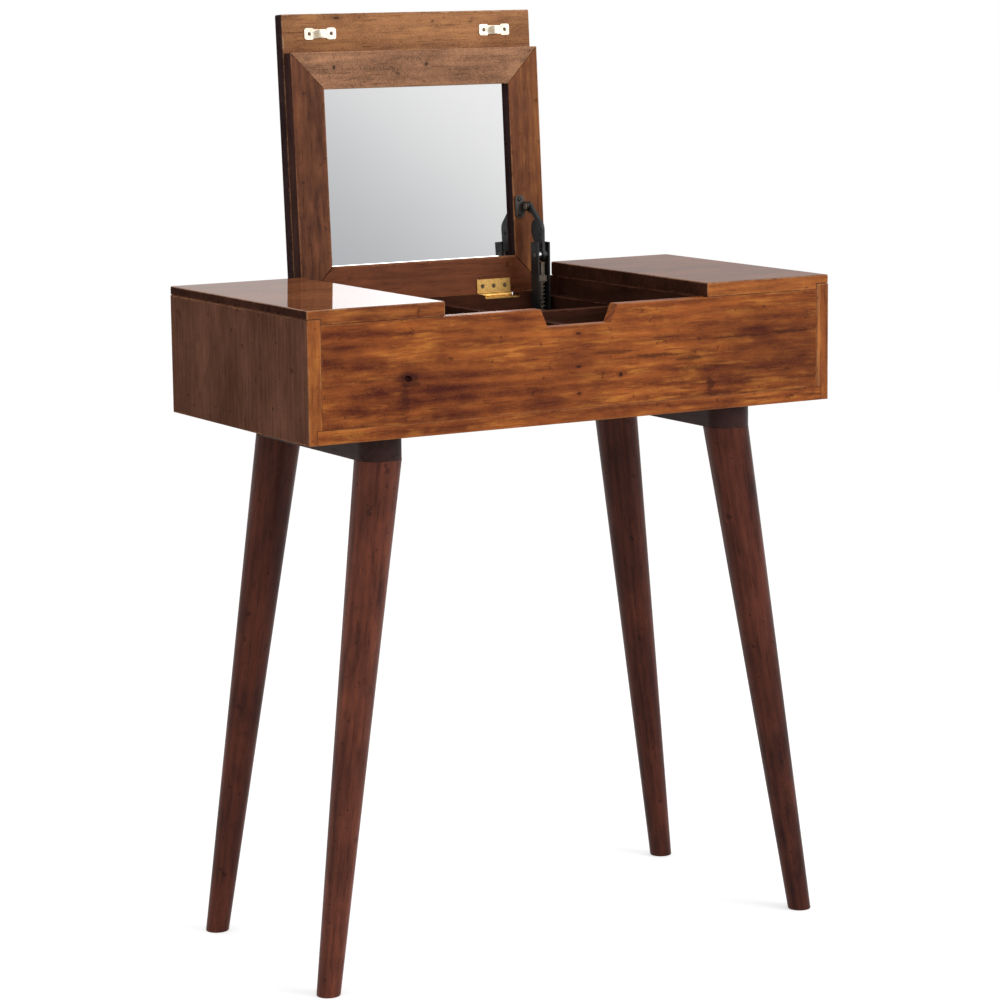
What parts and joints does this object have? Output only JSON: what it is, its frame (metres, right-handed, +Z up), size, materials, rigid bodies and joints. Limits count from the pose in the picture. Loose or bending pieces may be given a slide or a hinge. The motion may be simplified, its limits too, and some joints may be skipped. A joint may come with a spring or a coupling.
{
  "type": "flip top vanity table",
  "caption": "Shallow wooden vanity table on splayed tapered legs, with a centre lid that flips up on a linked stay to show a framed mirror and a divided compartment.",
  "frame": {"origin": "on the floor, at the middle of the width and of the depth that the open table takes up", "axes": "+X to the sitter's right, +Y towards the back where the lid is hinged, +Z up; the lid is open at rest"},
  "size_m": [0.7, 0.4131, 1.098],
  "materials": {
    "front_wood": "oiled chestnut-brown hardwood, satin",
    "side_wood": "dark brown stained hardwood, satin",
    "inner_wood": "dark reddish brown stained wood, matt",
    "leg_wood": "dark red-brown turned hardwood, satin",
    "lid_wood": "oiled mid-brown hardwood, satin",
    "mirror_glass": "silvered plain glass",
    "brass": "plain pressed brass, lightly worn",
    "dark_steel": "black coated pressed steel",
    "zinc_steel": "bright zinc plated steel"
  },
  "bodies": {
    "table": {"left_side_panel": "side_wood", "right_side_panel": "side_wood", "front_panel": "front_wood", "back_panel": "side_wood", "bottom_panel": "side_wood", "left_wing_top": "front_wood", "right_wing_top": "front_wood", "left_partition": "inner_wood", "right_partition": "inner_wood", "left_ledge": "inner_wood", "right_ledge": "inner_wood", "centre_divider": "inner_wood", "cross_divider": "inner_wood", "left_cleat": "leg_wood", "right_cleat": "leg_wood", "cleat_screws": "zinc_steel", "front_left_leg": "leg_wood", "front_right_leg": "leg_wood", "back_left_leg": "leg_wood", "back_right_leg": "leg_wood", "leg_bolts": "zinc_steel", "left_hinge_case_leaf": "brass", "right_hinge_case_leaf": "brass", "hinge_pins": "brass", "case_hinge_screws": "brass", "left_catch_housing": "brass", "right_catch_housing": "brass", "housing_screws": "brass", "left_catch_block": "inner_wood", "right_catch_block": "inner_wood", "catch_springs": "zinc_steel", "stay_base": "dark_steel", "stay_base_pin": "zinc_steel", "stay_base_screws": "dark_steel"},
    "lid": {"lid_panel": "lid_wood", "frame_front_rail": "lid_wood", "frame_back_rail": "lid_wood", "frame_left_stile": "lid_wood", "frame_right_stile": "lid_wood", "mirror_glass": "mirror_glass", "mirror_backing": "inner_wood", "left_hinge_lid_leaf": "brass", "right_hinge_lid_leaf": "brass", "lid_hinge_screws": "brass", "left_catch_strike": "brass", "right_catch_strike": "brass", "strike_screws": "brass", "stay_lid_bracket": "dark_steel", "stay_lid_pin": "zinc_steel", "stay_lid_screws": "dark_steel"},
    "stay_arm": {"stay_channel": "dark_steel", "stay_knee_pin": "zinc_steel", "stay_knee_bushes": "zinc_steel", "stay_plunger": "zinc_steel", "stay_spring": "zinc_steel"},
    "stay_link": {"stay_link": "dark_steel"},
    "left_ball_a": {"left_ball_a": "zinc_steel"},
    "left_ball_b": {"left_ball_b": "zinc_steel"},
    "right_ball_a": {"right_ball_a": "zinc_steel"},
    "right_ball_b": {"right_ball_b": "zinc_steel"}
  },
  "joints": [
    {"name": "lid_hinge", "type": "hinge", "parent": "table", "child": "lid", "pos_m": [0, 0.14776, 0.7471], "axis": [1, 0, 0], "range_deg": [0, 93.5]},
    {"name": "stay_arm_pivot", "type": "hinge", "parent": "table", "child": "stay_arm", "pos_m": [0.1448, 0.11776, 0.68834], "axis": [1, 0, 0], "range_deg": [0, 93.5]},
    {"name": "stay_knee", "type": "hinge", "parent": "stay_arm", "child": "stay_link", "pos_m": [0.1448, 0.11836, 0.7965], "axis": [1, 0, 0], "range_deg": [-93.5, 0]},
    {"name": "left_ball_slide_a", "type": "slide", "parent": "table", "child": "left_ball_a", "axis": [-1, 0, 0], "range_m": [0, 0.0012], "stiffness_N_per_m": 400, "springref_m": -0.002},
    {"name": "left_ball_slide_b", "type": "slide", "parent": "table", "child": "left_ball_b", "axis": [1, 0, 0], "range_m": [0, 0.0012], "stiffness_N_per_m": 400, "springref_m": -0.002},
    {"name": "right_ball_slide_a", "type": "slide", "parent": "table", "child": "right_ball_a", "axis": [-1, 0, 0], "range_m": [0, 0.0012], "stiffness_N_per_m": 400, "springref_m": -0.002},
    {"name": "right_ball_slide_b", "type": "slide", "parent": "table", "child": "right_ball_b", "axis": [1, 0, 0], "range_m": [0, 0.0012], "stiffness_N_per_m": 400, "springref_m": -0.002}
  ],
  "couplings": [
    {"joint": "stay_arm_pivot", "follows": "lid_hinge", "ratio": 1},
    {"joint": "stay_knee", "follows": "lid_hinge", "ratio": -1}
  ]
}
